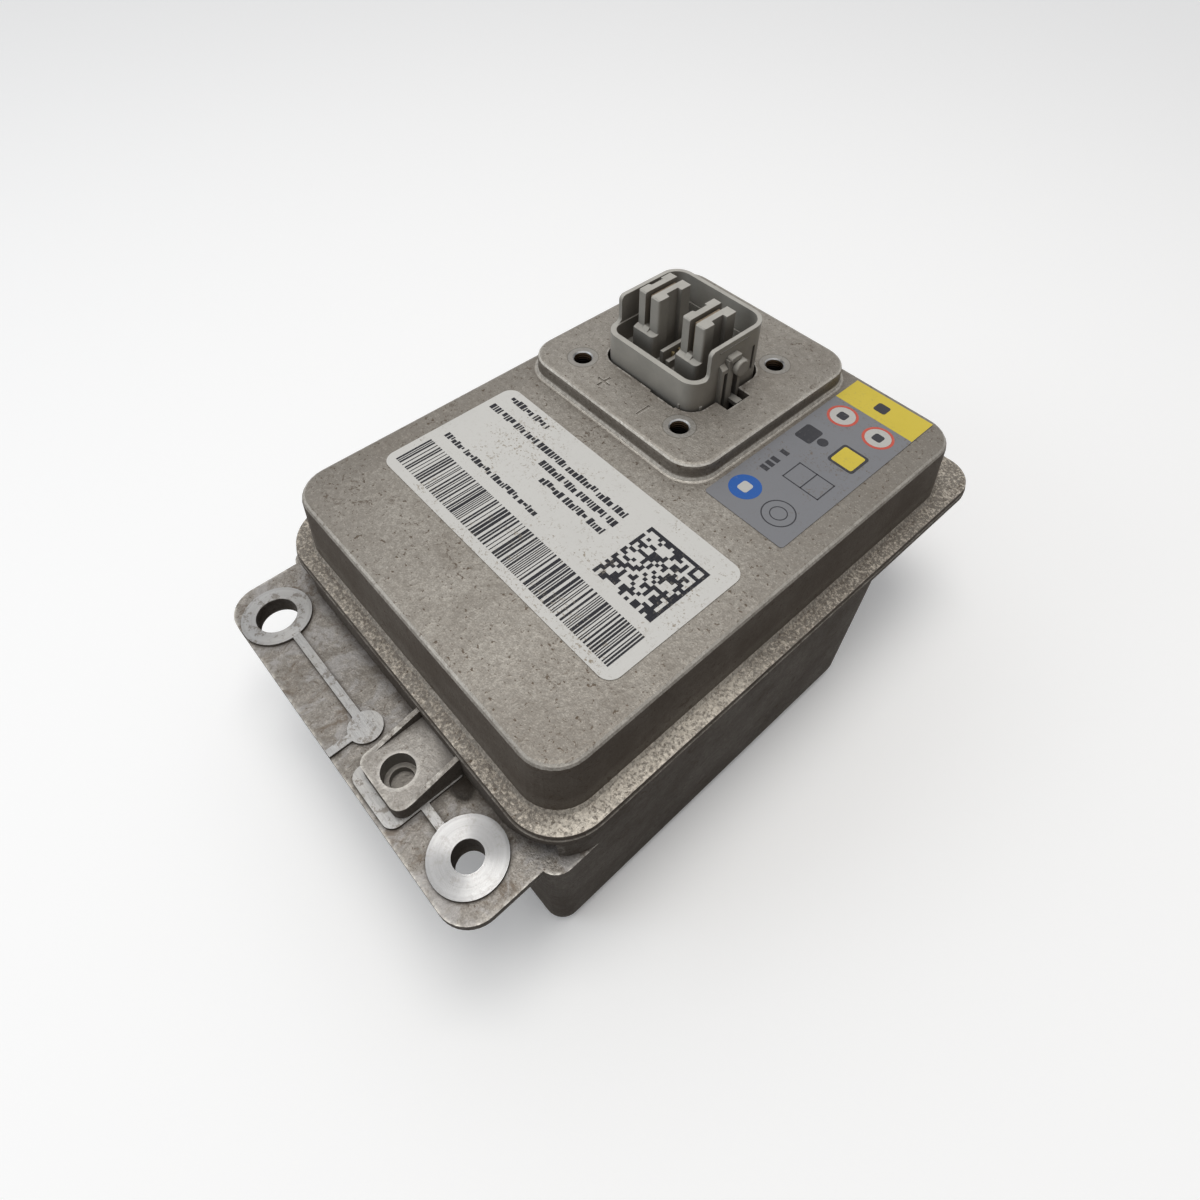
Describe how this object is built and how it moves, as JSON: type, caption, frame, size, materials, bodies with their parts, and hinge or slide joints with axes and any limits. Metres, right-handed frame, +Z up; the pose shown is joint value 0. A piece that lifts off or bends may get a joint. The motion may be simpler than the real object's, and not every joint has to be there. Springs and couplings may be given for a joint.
{
  "type": "lithium car battery",
  "caption": "Compact lithium car battery in a cast metal housing, with a front mounting flange, a deep cell tub, labelled lid and a raised pad with a keyed power socket.",
  "frame": {"origin": "under the middle of the whole part, on the plane the tub stands on", "axes": "+Z up, +Y from the mounting ears towards the connector end, +X to the right seen from the ears"},
  "size_m": [0.1208, 0.187, 0.1015],
  "materials": {
    "cast_tub": "rough cast, grey-brown, with machined faces",
    "cast_lid": "rough cast, grey-brown, worn bright at the edges",
    "sealant": "matt",
    "connector_plastic": "light warm grey moulded plastic",
    "seal_rubber": "matt",
    "screw_steel": "plated",
    "blade_metal": "dull, tinned in places",
    "pin_metal": "satin",
    "cell_can": "blue insulating film over a metal can",
    "sheet": "matt",
    "heat_pad": "soft, matt",
    "foam": "closed-cell foam",
    "copper": "bare copper",
    "film": "amber film with copper tracks",
    "carrier_plastic": "matt black",
    "board": "green, slightly glossy",
    "package": "matt black",
    "fuse_body": "cream, matt",
    "shunt_metal": "dull",
    "capacitor_can": "sleeved can",
    "white_label": "worn satin label",
    "grey_label": "worn satin label"
  },
  "bodies": {
    "root": {"tub": "cast_tub", "lid": "cast_lid", "lid_sealant": "sealant", "connector_housing": "connector_plastic", "connector_seal": "seal_rubber", "connector_screws": "screw_steel", "positive_blade": "blade_metal", "negative_blade": "blade_metal", "signal_pins": "pin_metal", "cell_1": "cell_can", "cell_2": "cell_can", "cell_3": "cell_can", "cell_4": "cell_can", "cell_sheets": "sheet", "heat_pad": "heat_pad", "side_foams": "foam", "end_foam": "foam", "top_foam": "foam", "cell_links": "copper", "positive_busbar": "copper", "negative_busbar": "copper", "sense_strip": "film", "signal_strip": "film", "board_carrier": "carrier_plastic", "circuit_board": "board", "carrier_screws": "screw_steel", "power_transistors": "package", "gap_filler": "heat_pad", "fuse": "fuse_body", "current_shunt": "shunt_metal", "controller_chips": "package", "capacitors": "capacitor_can", "board_sockets": "package", "white_label": "white_label", "grey_label": "grey_label"}
  },
  "joints": []
}
